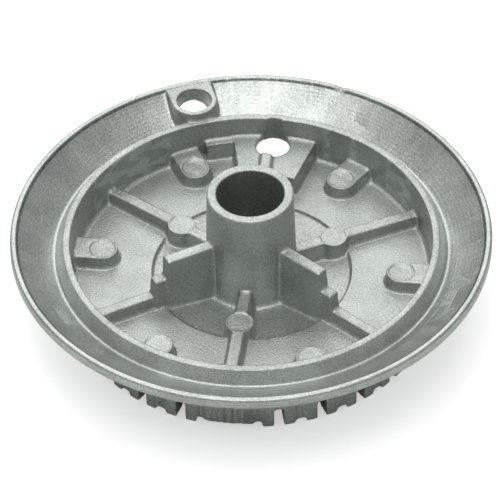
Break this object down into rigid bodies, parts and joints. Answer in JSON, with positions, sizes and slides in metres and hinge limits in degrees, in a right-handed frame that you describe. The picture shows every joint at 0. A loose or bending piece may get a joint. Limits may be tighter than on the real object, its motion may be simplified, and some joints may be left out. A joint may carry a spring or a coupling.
{
  "type": "gas hob burner head",
  "caption": "Round cast aluminium gas burner head: crown of flame ports below, turned dished flange, ribbed cup and a central mixing tube.",
  "frame": {"origin": "on the axis of the mixing tube, in the plane of the tooth tips that the part stands on", "axes": "+Z along the mixing tube, out of its open end; -Y towards the viewer of the picture, with the igniter boss at the back, a little towards -X"},
  "size_m": [0.12, 0.12, 0.0359],
  "materials": {
    "cast_aluminium": "shot-blasted casting with a turned dish and lip"
  },
  "bodies": {
    "root": {"burner_head": "cast_aluminium"}
  },
  "joints": []
}
